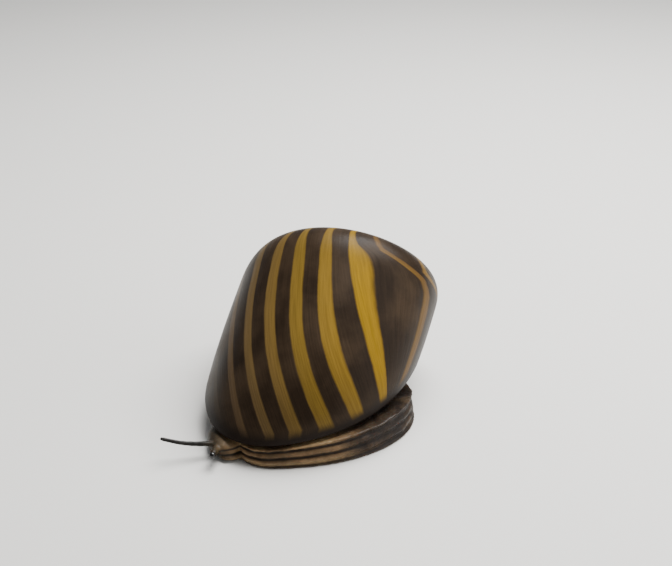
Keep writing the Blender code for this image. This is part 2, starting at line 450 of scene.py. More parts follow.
@dataclass(frozen=True)
class LipPlane:
    """The plane that cuts off the shell, rising to the rear and to the right."""

    height: float = 3.3 * MM
    rise_rear: float = math.tan(math.radians(5.0))
    rise_right: float = math.tan(math.radians(5.0))

    def z(self, x: float, y: float) -> float:
        """Returns the plane's height over a point of the floor."""
        return self.height + self.rise_rear * y - self.rise_right * x

    def normal(self) -> Vector:
        """Returns the plane's upward normal."""
        return Vector((self.rise_right, -self.rise_rear, 1.0)).normalized()


@dataclass(frozen=True)
class Coil:
    """A D-shaped section that grows as it turns to the right about the shell's axis.

    The section's lengths are shares of its size, which is crest_size at turn 0, the highest
    point of the last whorl. Turns fall towards the apex, and the last stretch before the lip
    sinks along the axis.
    """

    pole: Vector = place_mm(-6.55, 7.55, 10.3)
    axis_turn: float = math.radians(29.6)
    axis_rise: float = math.radians(37.2)
    crest_size: float = 6.34 * MM
    growth: float = 2.54
    tube_offset: float = 0.36
    upper_half: float = 0.72
    lower_half: float = 2.6
    drop: float = 0.9
    squareness: float = 2.8
    first_turn: float = math.radians(-1080)
    last_turn: float = math.radians(190)
    sink_from: float = math.radians(110)
    sink: float = 0.08
    inner_wall: float = 0.05
    nearness: float = 1e-6
    arc_steps: int = 12
    whole_turns: tuple[int, ...] = (-3, -2, -1, 0, 1)

    @property
    def axis(self) -> Vector:
        """Points along the coil's axis, from its mouth to its apex.

        Returns:
            The unit direction.
        """
        flat = math.cos(self.axis_rise)
        return Vector((-flat * math.cos(self.axis_turn), flat * math.sin(self.axis_turn),
                       math.sin(self.axis_rise)))

    @property
    def crest(self) -> Vector:
        """The direction square to the axis that points most upwards."""
        return (UP - self.axis * self.axis.z).normalized()

    @property
    def forward(self) -> Vector:
        """The direction that the coil grows towards at its crest."""
        return self.crest.cross(self.axis)

    def size(self, turn: float) -> float:
        """Returns the section's size at a turn."""
        return self.crest_size * self.growth ** (turn / math.tau)

    def sunk(self, turn: float) -> float:
        """Returns how far the section has sunk along the axis, as a share of its size."""
        return self.sink * smoothstep(self.sink_from, self.last_turn, turn)

    def section(self, angle: float) -> tuple[float, float]:
        """Finds a point of the section.

        Args:
            angle: The point's angle, from the shoulder up.

        Returns:
            Its distance from the axis and its height, as shares of the size.
        """
        across, along = math.cos(angle), math.sin(angle)
        reach = bulge(across, along, self.squareness)
        half = self.upper_half if along > 0 else self.lower_half
        return self.tube_offset + across * reach, half * along * reach - self.drop

    def edge(self, side: int) -> float:
        """Finds where the section meets the inner wall.

        Args:
            side: 1 above the shoulder, -1 below it.

        Returns:
            The section's angle there.
        """
        near, far = math.pi / 2, math.pi
        while far - near > self.nearness:
            middle = (near + far) / 2
            if self.section(side * middle)[0] > self.inner_wall:
                near = middle
            else:
                far = middle
        return side * near

    def arcs(self, angles: Sequence[float]) -> list[float]:
        """Measures along the section, from its shoulder.

        Args:
            angles: Rising angles of the section, evenly spaced.

        Returns:
            The arc at each angle, below zero under the shoulder.
        """
        low, high = angles[0], angles[-1]
        count = self.arc_steps * (len(angles) - 1)
        arc, at_shoulder, found = 0.0, 0.0, []
        before = self.section(low)
        for i in range(count + 1):
            angle = low + (high - low) * i / count
            here = self.section(angle)
            arc += math.dist(before, here)
            if angle <= 0:
                at_shoulder = arc
            if i % self.arc_steps == 0:
                found.append(arc)
            before = here
        return [value - at_shoulder for value in found]

    def point(self, turn: float, angle: float) -> Vector:
        """Finds a point of the coil's surface.

        Args:
            turn: The turn about the axis, from the crest.
            angle: The angle of the section.

        Returns:
            The point.
        """
        out, up = self.section(angle)
        size = self.size(turn)
        spoke = self.crest * math.cos(turn) + self.forward * math.sin(turn)
        return self.pole + spoke * (size * out) + self.axis * (size * (up - self.sunk(turn)))

    def holds(self, point: Vector) -> bool:
        """Tells whether a point lies inside any turn.

        Args:
            point: The point to test.

        Returns:
            True inside the coil or between the section and the axis.
        """
        offset = point - self.pole
        up = offset.dot(self.axis)
        out = (offset - self.axis * up).length
        turn = math.atan2(offset.dot(self.forward), offset.dot(self.crest))
        power = self.squareness
        for whole in self.whole_turns:
            here = turn + whole * math.tau
            if here > self.last_turn:
                continue
            size = self.size(here)
            along = up / size + self.drop + self.sunk(here)
            half = self.upper_half if along > 0 else self.lower_half
            across = out / size - self.tube_offset
            if abs(across) ** power + abs(along / half) ** power < 1:
                return True
            if across < 0 and abs(along) < half:
                return True
        return False


@dataclass(frozen=True)
class Aperture:
    """The D-shaped mouth of the shell: its rim drawn in, cut straight along the deck."""

    coil: Coil
    lip: LipPlane
    middle: Vector = place_mm(-1.55, -1.55, 0.0)
    deck_point: Vector = place_mm(2.55, 2.85, 0.0)
    wall: float = 1.1 * MM
    depth: float = 1.9 * MM
    taper: float = 0.5 * MM
    search: float = 24 * MM
    nearness: float = 0.005 * MM
    steps: int = 120

    @property
    def deck_normal(self) -> Vector:
        """The level direction square to the deck's edge, towards the rear."""
        return Vector((math.sin(self.coil.axis_turn), math.cos(self.coil.axis_turn), 0.0))

    def past_deck(self, point: Vector) -> float:
        """Returns how far a point is from the middle, towards the deck."""
        return (point - self.middle).dot(self.deck_normal)

    def rim(self, angle: float) -> float:
        """Finds the shell's rim on the lip's plane.

        Args:
            angle: The direction to look in, from the middle.

        Returns:
            The distance from the middle to the rim.
        """
        spoke = spoke_at(angle)
        near, far = 0.0, self.search
        while far - near > self.nearness:
            reach = (near + far) / 2
            point = self.middle + spoke * reach
            point.z = self.lip.z(point.x, point.y)
            if self.coil.holds(point):
                near = reach
            else:
                far = reach
        return near

    def ring(self, inset: float, rise: float) -> list[Vector]:
        """Sets out the mouth's outline.

        Args:
            inset: How far it is drawn in from the rim.
            rise: How far it is raised from the lip's plane.

        Returns:
            The outline's points.
        """
        room = self.past_deck(self.deck_point) - inset
        points = []
        for i in range(self.steps):
            angle = math.tau * i / self.steps
            spoke = spoke_at(angle)
            reach = self.rim(angle) - inset
            toward = spoke.dot(self.deck_normal)
            if toward > 0:
                reach = min(reach, room / toward)
            point = self.middle + spoke * reach
            point.z = self.lip.z(point.x, point.y) + rise
            points.append(point)
        return points


# Shell


@dataclass(frozen=True)
class Stripe:
    """A stripe across the whorl: its turn in degrees, by the arc from the shoulder.

    The turn follows a cubic of the arc, or pairs of arc and turn where the stripe bends more.
    The width is a share of the way from one stripe to the next.
    """

    turn: float
    slope: float
    bend: float
    twist: float
    width: float
    colour: str
    knots: tuple[tuple[float, float], ...] = ()

    def at(self, arc: float) -> float:
        """Finds the stripe's turn.

        Args:
            arc: The arc above or below the shoulder, as a share of the coil's size.

        Returns:
            The turn in degrees.
        """
        for (low, before), (high, after) in zip(self.knots, self.knots[1:]):
            if arc <= high:
                return before + (after - before) * (arc - low) / (high - low)
        return self.turn + arc * (self.slope + arc * (self.bend + arc * self.twist))


@dataclass(frozen=True)
class StripePattern:
    """The oblique stripes, counted from the front to the rear.

    Those that the photograph shows are set one by one. Before and behind them the stripes go on
    with a seeded draw, along the path of the first and of the last seen one.
    """

    # Colours darken from the seventh stripe towards the front. This is partly the stripes' own tone
    # and partly painted shade on the front side of the shell, which is turned away from the light.
    seen: tuple[Stripe, ...] = (
        Stripe(80.0, 17.0, 0.0, 0.0, 0.22, "#33291d"),
        Stripe(66.7, 17.1, 0.0, 0.0, 0.34, "#54432f"),
        Stripe(49.0, 9.3, -2.9, 0.0, 0.38, "#604d2f"),
        Stripe(34.0, 6.5, -4.3, 0.0, 0.44, "#69532a"),
        Stripe(20.0, 10.7, 1.1, 2.1, 0.46, "#6e5722"),
        Stripe(5.2, 10.2, 0.8, 3.3, 0.43, "#765c20"),
        Stripe(-10.9, 18.0, -5.1, 0.4, 0.37, "#84650d"),
        Stripe(-68.5, 0.0, 0.0, 0.0, 0.17, "#58401f", (
            (-2.35, -75.0), (-0.5, -72.1), (-0.2, -70.5), (0.0, -67.5), (0.12, -61.5),
            (0.19, -54.0), (0.29, -27.0), (0.36, -20.5), (0.55, -16.5))),
    )
    arc_low: float = -2.35
    arc_high: float = 0.55
    least_gap: float = 7.0
    front_gap: float = 13.0
    front_jitter: float = 2.0
    front_count: int = 10
    rear_start: float = 16.0
    rear_gap: float = 27.0
    rear_jitter: float = 6.0
    rear_count: int = 34
    seed: int = 11

    def offsets(self) -> tuple[list[float], list[float]]:
        """Draws where the unseen stripes stand.

        Returns:
            Their turns off the first seen stripe, and those off the last one.
        """
        chance = random.Random(self.seed)
        front = [self.front_gap * (i + 1) + chance.uniform(-self.front_jitter, self.front_jitter)
                 for i in range(self.front_count)]
        rear = [self.rear_start + self.rear_gap * (i + 1)
                + chance.uniform(-self.rear_jitter, self.rear_jitter)
                for i in range(self.rear_count)]
        return front, rear

    def turns(self, arc: float, front: Sequence[float], rear: Sequence[float]) -> list[float]:
        """Finds every stripe's turn in degrees at an arc, from front to rear.

        Args:
            arc: The arc from the shoulder, as a share of the coil's size.
            front: Offsets of the stripes ahead of the seen ones.
            rear: Offsets of the stripes behind the seen ones.

        Returns:
            Falling turns, the first seen stripe at place front_count.
        """
        reach = min(max(arc, self.arc_low), self.arc_high)
        turns = [stripe.at(reach) for stripe in self.seen]
        for i in range(1, len(turns)):
            turns[i] = min(turns[i], turns[i - 1] - self.least_gap)
        ahead = [turns[0] + offset for offset in reversed(front)]
        behind = [turns[-1] - offset for offset in rear]
        return ahead + turns + behind

    def count(self, turn: float, turns: Sequence[float]) -> float:
        """Finds a turn's place among the stripes.

        Args:
            turn: The turn about the axis.
            turns: Every stripe's turn in degrees, falling.

        Returns:
            The place; a whole number is a stripe's middle, and 0 is the first seen one's.
        """
        degrees = math.degrees(turn)
        if degrees >= turns[0]:
            return -self.front_count - (degrees - turns[0]) / self.front_gap
        for i in range(1, len(turns)):
            if degrees >= turns[i]:
                share = (turns[i - 1] - degrees) / (turns[i - 1] - turns[i])
                return i - 1 + share - self.front_count
        return len(turns) - 1 - self.front_count + (turns[-1] - degrees) / self.rear_gap


@dataclass(frozen=True)
class ShellFinish:
    """Snail shell with its natural glaze: dark olive-brown with oblique straw-yellow stripes.

    The horny outer coat over the limy shell gives the eye a soft sheen, not a hard gloss, and
    fine growth lines run along the stripes. The coat is worn through to grey lime at the apex.
    """

    pattern: StripePattern
    lip: LipPlane
    pole: Vector
    dark: str = "#241b13"
    lighter_dark: str = "#372b1f"
    margin: str = "#1c1510"
    worn: str = "#6b6253"
    unseen: str = "#76591f"
    unseen_width: float = 0.34
    unseen_before: float = -2.5
    unseen_behind: float = 1.0

    # Stripes: the count runs along the coil, and the arc across it
    row_low: float = -4.0
    row_high: float = 12.0
    edge: float = 0.04
    wobble_size: float = 2.4 * MM
    wobble: float = 0.07
    narrowing: Fade = Fade(0.05, 0.5, 1.0, 0.65)
    low_ends: Fade = Fade(-2.2, -0.9, 0.7, 1.0)
    high_ends: Fade = Fade(-0.1, 0.45, 1.0, 0.72)

    # Bend of the rear stripes along the shoulder, where they are drawn wider
    bend_arc: float = 0.24
    bend: Fade = Fade(0.03, 0.12, 1.3, 0.0)
    bend_from: Fade = Fade(6.4, 6.6)

    # Clouds in the dark ground, growth lines and pits
    cloud_size: float = 3.8 * MM
    cloud_detail: float = 4.0
    clouds: Fade = Fade(0.35, 0.7)
    lines_per_stripe: float = 14.0
    line_spacing: float = 0.62
    line_detail: float = 4.0
    line_roughness: float = 0.6
    line_tint: Fade = Fade(0.3, 0.7, 0.82, 1.12)
    line_relief: float = 0.5
    line_height: float = 0.03 * MM
    pit_size: float = 0.45 * MM
    pit_detail: float = 2.0
    pit_relief: float = 0.15
    pit_height: float = 0.02 * MM

    # Dark margin above the lip and the worn apex
    margin_sway: float = 0.8 * MM
    margin_band: Fade = Fade(0.35 * MM, 1.2 * MM, 1.0, 0.0)
    worn_sway: float = 1.0 * MM
    worn_disc: Fade = Fade(1.3 * MM, 2.2 * MM, 0.85, 0.0)

    # Sheen
    gloss: Fade = Fade(0.3, 0.75, 0.34, 0.46)
    ior: float = 1.4
    specular: float = 0.1

    def stripe_mask(self, s: Shading, count: Socket, width: Socket) -> Socket:
        """Marks the stripes.

        Args:
            s: The material.
            count: The place among the stripes.
            width: The stripe's width there.

        Returns:
            1 on a stripe and 0 between two.
        """
        away = s.off(count, s.maths(Maths.ROUND, count))
        half = s.maths(Maths.MULTIPLY, width, 0.5)
        outer = s.maths(Maths.ADD, half, self.edge)
        inner = s.maths(Maths.SUBTRACT, half, self.edge)
        return s.maths(Maths.SUBTRACT, 1.0, s.step(away, inner, outer))

    def stripe_looks(self, s: Shading, count: Socket) -> tuple[Socket, Socket]:
        """Gives each stripe its colour, darker towards the front partly as painted shade, and its
        width.

        Args:
            s: The material.
            count: The place among the stripes.

        Returns:
            The colour and the width.
        """
        seen = self.pattern.seen
        looks = [(self.unseen_before, self.unseen, self.unseen_width)]
        looks += [(i, stripe.colour, stripe.width) for i, stripe in enumerate(seen)]
        looks.append((len(seen) + self.unseen_behind, self.unseen, self.unseen_width))
        row = s.step(count, self.row_low, self.row_high, easing=Easing.EVEN)
        span = self.row_high - self.row_low
        positions = [(where - self.row_low) / span for where, _, _ in looks]
        colours = [linear(code) for _, code, _ in looks]
        widths = [grey(width) for _, _, width in looks]
        return s.ramp(row, list(zip(positions, colours))), s.ramp(row, list(zip(positions, widths)))

    def stripes(self, s: Shading, place: Socket, count: Socket, arc: Socket,
                ground: Socket) -> Socket:
        """Lays the stripes over the dark ground.

        Args:
            s: The material.
            place: The object coordinates.
            count: The place among the stripes, along the coil.
            arc: The arc from the shoulder, across the coil.
            ground: The ground's colour.

        Returns:
            The striped colour.
        """
        wobble = s.sway(s.noise(self.wobble_size, place), self.wobble)
        count = s.maths(Maths.ADD, count, wobble)
        colour, width = self.stripe_looks(s, count)
        bend = s.maths(Maths.MULTIPLY, s.fade(s.off(arc, self.bend_arc), self.bend),
                       s.fade(count, self.bend_from))
        wider = s.maths(Maths.ADD, s.fade(arc, self.narrowing), bend)
        mask = self.stripe_mask(s, count, s.maths(Maths.MULTIPLY, width, wider))
        ends = s.maths(Maths.MULTIPLY, s.fade(arc, self.low_ends), s.fade(arc, self.high_ends))
        return s.mix(s.maths(Maths.MULTIPLY, mask, ends), ground, colour)

    def dark_margin(self, s: Shading, place: Socket, cloud: Socket, base: Socket) -> Socket:
        """Darkens the band above the lip.

        Args:
            s: The material.
            place: The object coordinates.
            cloud: The noise that makes the band's edge uneven.
            base: The colour so far.

        Returns:
            The colour with the band.
        """
        normal = self.lip.normal()
        above = s.add("ShaderNodeVectorMath", {0: place, 1: normal},
                      operation="DOT_PRODUCT").outputs["Value"]
        above = s.maths(Maths.SUBTRACT, above, self.lip.height * normal.z)
        above = s.maths(Maths.ADD, above, s.sway(cloud, self.margin_sway))
        return s.mix(s.fade(above, self.margin_band), base, linear(self.margin))

    def worn_apex(self, s: Shading, place: Socket, cloud: Socket, base: Socket) -> Socket:
        """Wears the outer coat through about the apex.

        Args:
            s: The material.
            place: The object coordinates.
            cloud: The noise that makes the worn disc's edge uneven.
            base: The colour so far.

        Returns:
            The colour with the worn disc.
        """
        away = s.add("ShaderNodeVectorMath", {0: place, 1: self.pole},
                     operation="DISTANCE").outputs["Value"]
        away = s.maths(Maths.ADD, away, s.maths(Maths.MULTIPLY, cloud, self.worn_sway))
        return s.mix(s.fade(away, self.worn_disc), base, linear(self.worn))

    def build(self) -> bpy.types.Material:
        """Makes the material.

        Returns:
            The shell's material.
        """
        s = Shading("glazed_snail_shell")
        place = s.place()
        coil = s.parts(s.add("ShaderNodeUVMap", uv_map="coil").outputs[0])
        count, arc = coil[0], coil[1]
        cloud = s.noise(self.cloud_size, place, self.cloud_detail)
        ground = s.mix(s.fade(cloud, self.clouds), linear(self.dark), linear(self.lighter_dark))
        base = self.stripes(s, place, count, arc, ground)
        growth = s.add("ShaderNodeCombineXYZ", {
            0: s.maths(Maths.MULTIPLY, count, self.lines_per_stripe), 1: arc}).outputs[0]
        lines = s.noise(self.line_spacing, growth, self.line_detail, self.line_roughness)
        base = s.tint(base, s.fade(lines, self.line_tint))
        base = self.dark_margin(s, place, cloud, base)
        base = self.worn_apex(s, place, cloud, base)
        relief = s.bump(lines, self.line_relief, self.line_height)
        pits = s.noise(self.pit_size, place, self.pit_detail)
        relief = s.bump(pits, self.pit_relief, self.pit_height, relief)
        s.feed(s.shader, {
            "Base Color": base, "Roughness": s.fade(cloud, self.gloss), "Normal": relief,
            "IOR": self.ior, "Specular IOR Level": self.specular})
        return s.material


@dataclass
class Shell:
    """The coiled shell, cut off at its lip, with its mouth cut in.

    The coil is built in stretches that overlap a little, because a stretch of under one turn
    doesn't run into itself, and they are then joined.
    """

    coil: Coil
    lip: LipPlane
    aperture: Aperture
    pattern: StripePattern = field(default_factory=StripePattern)
    stretch_length: float = math.radians(300)
    overlap: float = math.radians(4)
    turn_step: float = math.radians(2.5)
    section_steps: int = 96
    pillar_top: float = 0.15 * MM
    pillar_foot: float = 2.2 * MM
    pillar_length: float = 14.0 * MM
    pillar_drop: float = 0.6 * MM
    pillar_sides: int = 48
    cutter: float = 90 * MM
    crease: float = math.radians(40)

    def stretch(self, start: float, end: float) -> bpy.types.Object:
        """Builds one stretch of the coil, with its stripe count and arc kept as a UV map.

        No operator sweeps a section that grows as it turns and carries such a map.

        Args:
            start: The first turn.
            end: The last turn.

        Returns:
            The closed stretch.
        """
        low, high = self.coil.edge(-1), self.coil.edge(1)
        rows = max(2, round((end - start) / self.turn_step))
        front, rear = self.pattern.offsets()
        angles = [low + (high - low) * i / self.section_steps
                  for i in range(self.section_steps + 1)]
        arcs = self.coil.arcs(angles)
        turns = [self.pattern.turns(arc, front, rear) for arc in arcs]
        bm = bmesh.new()
        layer = bm.loops.layers.uv.new("coil")
        rings, marks = [], []
        for i in range(rows + 1):
            turn = start + (end - start) * i / rows
            rings.append([bm.verts.new(self.coil.point(turn, angle)) for angle in angles])
            marks.append([(self.pattern.count(turn, turns[j]), arcs[j])
                          for j in range(len(angles))])
        count = len(angles)
        for i in range(rows):
            for j in range(count):
                k = (j + 1) % count
                face = bm.faces.new((rings[i][j], rings[i][k], rings[i + 1][k], rings[i + 1][j]))
                corners = (marks[i][j], marks[i][k], marks[i + 1][k], marks[i + 1][j])
                for loop, mark in zip(face.loops, corners):
                    loop[layer].uv = mark
        bm.faces.new(list(reversed(rings[0])))
        bm.faces.new(rings[-1])
        bmesh.ops.triangulate(bm, faces=bm.faces)
        return new_object("shell_stretch", bm)

    def whorls(self) -> bpy.types.Object:
        """Builds the whole coil from its stretches, from the lip to the apex.

        Returns:
            The joined coil.
        """
        first, end = self.coil.first_turn, self.coil.last_turn
        whorls = None
        while end > first:
            start = max(first, end - self.stretch_length)
            if whorls is None:
                whorls = self.stretch(start, end)
            else:
                reach = min(end + self.overlap, self.coil.last_turn)
                combine(whorls, self.stretch(start, reach), Joining.UNION)
            end = start
        return whorls

    def pillar(self) -> bpy.types.Object:
        """Builds the columella about the axis.

        Returns:
            The tapered pillar.
        """
        middle = self.coil.pole - self.coil.axis * (self.pillar_drop + self.pillar_length / 2)
        deselect()
        bpy.ops.mesh.primitive_cone_add(
            vertices=self.pillar_sides, radius1=self.pillar_foot, radius2=self.pillar_top,
            depth=self.pillar_length, location=middle,
            rotation=self.coil.axis.to_track_quat("Z", "Y").to_euler())
        made = bpy.context.object
        bpy.ops.object.transform_apply(location=True, rotation=True, scale=True)
        return made

    def below(self) -> bpy.types.Object:
        """Builds the block that cuts the coil off at its lip.

        Returns:
            The block, whose top face is the lip's plane.
        """
        normal = self.lip.normal()
        middle = Vector((0.0, 0.0, self.lip.height)) - normal * (self.cutter / 2)
        deselect()
        bpy.ops.mesh.primitive_cube_add(
            size=self.cutter, location=middle, rotation=normal.to_track_quat("Z", "Y").to_euler())
        made = bpy.context.object
        bpy.ops.object.transform_apply(location=True, rotation=True, scale=True)
        return made

    def mouth(self) -> bpy.types.Object:
        """Builds the hollow of the mouth.

        Returns:
            The body to cut away.
        """
        cut = self.aperture
        return loft("mouth", [
            cut.ring(cut.wall, -cut.depth),
            cut.ring(cut.wall, 0.0),
            cut.ring(cut.wall + cut.taper, cut.depth),
        ])

    def build(self) -> bpy.types.Object:
        """Builds and dresses the shell.

        Returns:
            The finished shell.
        """
        shell = self.whorls()
        combine(shell, self.pillar(), Joining.UNION)
        combine(shell, self.below(), Joining.CUT)
        combine(shell, self.mouth(), Joining.CUT)
        shell.name = "striped_shell"
        shell.data.name = "striped_shell"
        activate(shell)
        bpy.ops.object.shade_smooth_by_angle(angle=self.crease)
        dress(shell, ShellFinish(self.pattern, self.lip, self.coil.pole).build())
        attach(shell, "root")
        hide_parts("shell")
        LOG.info("shell: %d faces", len(shell.data.polygons))
        return shell


# Skin


@dataclass(frozen=True)
class SkinFinish:
    """Moist snail flesh: brown and finely wrinkled, with dark lines along the foot's edge.

    The slime on it gives the eye a dull sheen over a soft, slightly translucent flesh. It is
    darker on the head and the feelers, and darkest on the folded rear of the foot. Shares are
    of the way from the floor to the foot's top.
    """

    sole: str = "#5a4f40"
    side: str = "#54422e"
    dark_line: str = "#150f0a"
    pale: str = "#786044"
    edge: str = "#97805e"
    upper: str = "#8a7150"
    rear: str = "#1f1711"
    head: str = "#2d261c"
    tentacle: str = "#1b1916"

    # The foot's top, as the foot itself has it
    foot_rise_rear: float = math.tan(math.radians(5.0))
    foot_rise_left: float = 0.06
    foot_top: float = 1.31 * MM

    # Grain of the flesh
    pore_size: float = 0.67 * MM
    pore_detail: float = 5.0
    pore_roughness: float = 0.6
    patch_size: float = 3.0 * MM
    wrinkle_size: float = 1.25 * MM
    wrinkle_detail: float = 4.0
    wrinkle_roughness: float = 0.65
    mottling: Fade = Fade(0.35, 0.65)
    pore_tint: Fade = Fade(0.3, 0.7, 0.78, 1.15)
    wrinkle_tint: Fade = Fade(0.3, 0.7, 0.8, 1.2)
    wrinkle_relief: float = 0.6
    wrinkle_height: float = 0.2 * MM
    pore_relief: float = 0.6
    pore_height: float = 0.08 * MM

    # Bands along the foot's edge, and pale patches of its upper face, in millimetres to the rear
    band_sway: float = 0.12
    line_shares: tuple[float, ...] = (0.08, 0.47, 0.82)
    line_width: Fade = Fade(0.02, 0.09, 0.9, 0.0)
    low_band: Fade = Fade(0.18, 0.42, 1.0, 0.0)
    low_strength: float = 0.5
    upper_band: Fade = Fade(0.86, 0.97)
    patch_front: float = -9.0
    patch_length: float = 20.0
    patches: tuple[tuple[float, float], ...] = (
        (-6.8, 0.5), (-6.0, 0.9), (-4.7, 0.9), (-4.0, 0.1), (-2.6, 0.1), (-1.8, 0.95),
        (1.0, 0.95), (1.8, 0.1))

    # Regions by their place
    rear_part: Fade = Fade(0.5 * MM, 4.5 * MM)
    rear_grain: Fade = Fade(0.35, 0.68, 1.0, 0.85)
    front_part: Fade = Fade(-8.2 * MM, -6.2 * MM, 1.0, 0.0)
    feeler_part: Fade = Fade(-9.2 * MM, -8.2 * MM, 1.0, 0.0)
    sole_part: Fade = Fade(0.02 * MM, 0.2 * MM, 1.0, 0.0)

    # Sheen and depth
    roughness: float = 0.42
    ior: float = 1.38
    specular: float = 0.25
    depth_share: float = 0.1
    depth: float = 0.4 * MM

    def share_of_height(self, s: Shading, parts: Sequence[Socket], broad: Socket) -> Socket:
        """Finds how high a place is between the floor and the foot's top.

        Args:
            s: The material.
            parts: The place's x, y and z.
            broad: The noise that makes the bands uneven.

        Returns:
            0 at the floor, 1 at the top.
        """
        top = s.maths(Maths.MULTIPLY_ADD, parts[1], self.foot_rise_rear, self.foot_top)
        top = s.maths(Maths.MULTIPLY_ADD, parts[0], self.foot_rise_left, top)
        share = s.maths(Maths.DIVIDE, parts[2], top)
        return s.maths(Maths.ADD, share, s.sway(broad, self.band_sway))

    def bands(self, s: Shading, y: Socket, share: Socket, base: Socket) -> Socket:
        """Draws the bands and the dark lines along the foot's edge.

        Args:
            s: The material.
            y: The place from front to rear.
            share: The place between the floor and the foot's top.
            base: The colour so far.

        Returns:
            The banded colour.
        """
        along = s.step(y, self.patch_front * MM, (self.patch_front + self.patch_length) * MM,
                       easing=Easing.EVEN)
        patches = s.ramp(along, [((where - self.patch_front) / self.patch_length, grey(strength))
                                 for where, strength in self.patches])
        upper = s.maths(Maths.MULTIPLY, s.fade(share, self.upper_band), patches)
        base = s.mix(upper, base, linear(self.upper))
        low = s.maths(Maths.MULTIPLY, s.fade(share, self.low_band), self.low_strength)
        base = s.mix(low, base, linear(self.edge))
        for height in self.line_shares:
            line = s.fade(s.off(share, height), self.line_width)
            base = s.mix(line, base, linear(self.dark_line))
        return base

    def regions(self, s: Shading, parts: Sequence[Socket], grain: Socket,
                base: Socket) -> Socket:
        """Darkens the rear, the head and the feelers, and greys the sole.

        Args:
            s: The material.
            parts: The place's x, y and z.
            grain: The noise of the wrinkles.
            base: The colour so far.

        Returns:
            The colour with its regions.
        """
        behind = s.maths(Maths.MULTIPLY, s.fade(parts[1], self.rear_part),
                         s.fade(grain, self.rear_grain))
        base = s.mix(behind, base, linear(self.rear))
        base = s.mix(s.fade(parts[1], self.front_part), base, linear(self.head))
        base = s.mix(s.fade(parts[1], self.feeler_part), base, linear(self.tentacle))
        return s.mix(s.fade(parts[2], self.sole_part), base, linear(self.sole))

    def build(self) -> bpy.types.Material:
        """Makes the material.

        Returns:
            The skin's material.
        """
        s = Shading("moist_snail_flesh")
        place = s.place()
        parts = s.parts(place)
        pores = s.noise(self.pore_size, place, self.pore_detail, self.pore_roughness)
        broad = s.noise(self.patch_size, place)
        grain = s.noise(self.wrinkle_size, place, self.wrinkle_detail, self.wrinkle_roughness)
        base = s.mix(s.fade(broad, self.mottling), linear(self.side), linear(self.pale))
        base = self.bands(s, parts[1], self.share_of_height(s, parts, broad), base)
        base = self.regions(s, parts, grain, base)
        base = s.tint(base, s.maths(Maths.MULTIPLY, s.fade(pores, self.pore_tint),
                                    s.fade(grain, self.wrinkle_tint)))
        relief = s.bump(grain, self.wrinkle_relief, self.wrinkle_height)
        relief = s.bump(pores, self.pore_relief, self.pore_height, relief)
        s.feed(s.shader, {
            "Base Color": base, "Roughness": self.roughness, "Normal": relief, "IOR": self.ior,
            "Subsurface Weight": self.depth_share, "Subsurface Scale": self.depth,
            "Specular IOR Level": self.specular})
        return s.material


@dataclass
class Outline:
    """Level, egg-shaped outlines of a set number of points."""

    steps: int = 160

    def points(self, middle: Vector, half_width: float, front: float, rear: float,
               front_power: float = 2.0) -> list[Vector]:
        """Sets out one outline.

        Args:
            middle: Its middle.
            half_width: Its reach to either side.
            front: Its reach to the front.
            rear: Its reach to the rear.
            front_power: How blunt its front is; 2 is round.

        Returns:
            The outline's points, level.
        """
        points = []
        for i in range(self.steps):
            angle = math.tau * i / self.steps
            across, along = math.cos(angle), math.sin(angle)
            power = 2.0 if along > 0 else front_power
            length = rear if along > 0 else front
            reach = bulge(across, along, power)
            points.append(middle + Vector((across * reach * half_width,
                                           along * reach * length, 0.0)))
        return points


@dataclass
class Foot:
    """The broad foot: ridges along its edge, drawn in towards its top, folded at the rear."""

    lip: LipPlane
    middle: Vector = place_mm(4.25, -0.95, 0.0)
    half_width: float = 7.2 * MM
    front: float = 5.8 * MM
    rear: float = 10.2 * MM
    bluntness: float = 3.5
    height: float = 2.0 * MM
    fall_right: float = 0.06
    ridges: int = 3
    ridge_depth: float = 0.28 * MM
    ring_steps: int = 36
    sole_inset: float = 0.5 * MM
    draw_in: float = 0.25 * MM
    fold_depth: float = 0.16 * MM
    fold_start: float = 1.5 * MM
    fold_full: float = 6.0 * MM
    fold_rise: float = 0.2
    fold_waves: tuple[tuple[float, float, float], ...] = (
        (19, 7, 0.0), (31, -5, 1.3), (11, 14, 0.6))

    def top(self, x: float, y: float) -> float:
        """Returns the height of the foot's top over a point of the floor."""
        left_edge = self.middle.x + self.half_width
        return self.height + self.lip.rise_rear * y - self.fall_right * (left_edge - x)

    def fold(self, point: Vector, share: float) -> None:
        """Draws a point of the edge in, where the flesh is folded at the rear.

        Args:
            point: The point, which is moved.
            share: Its place between the floor and the foot's top.
        """
        spoke = point - self.middle
        around = math.atan2(spoke.y, spoke.x)
        waves = sum(math.sin(turns * around + lean * share + start)
                    for turns, lean, start in self.fold_waves)
        behind = smoothstep(self.fold_start, self.fold_full, point.y)
        size = self.fold_depth * (0.5 + waves / (2 * len(self.fold_waves)))
        spoke.normalize()
        point -= spoke * (size * behind * smoothstep(0.0, self.fold_rise, share))

    def build(self) -> bpy.types.Object:
        """Builds the foot.

        Returns:
            The closed foot.
        """
        rings = []
        for i in range(self.ring_steps + 1):
            share = i / self.ring_steps
            groove = 0.5 - 0.5 * math.cos(math.tau * self.ridges * share)
            inset = self.ridge_depth * groove + self.draw_in * share
            if i == 0:
                inset = self.sole_inset
            ring = Outline().points(self.middle, self.half_width - inset, self.front - inset,
                                    self.rear - inset, self.bluntness)
            for point in ring:
                self.fold(point, share)
                point.z = self.top(point.x, point.y) * share
            rings.append(ring)
        return loft("foot_part", rings)


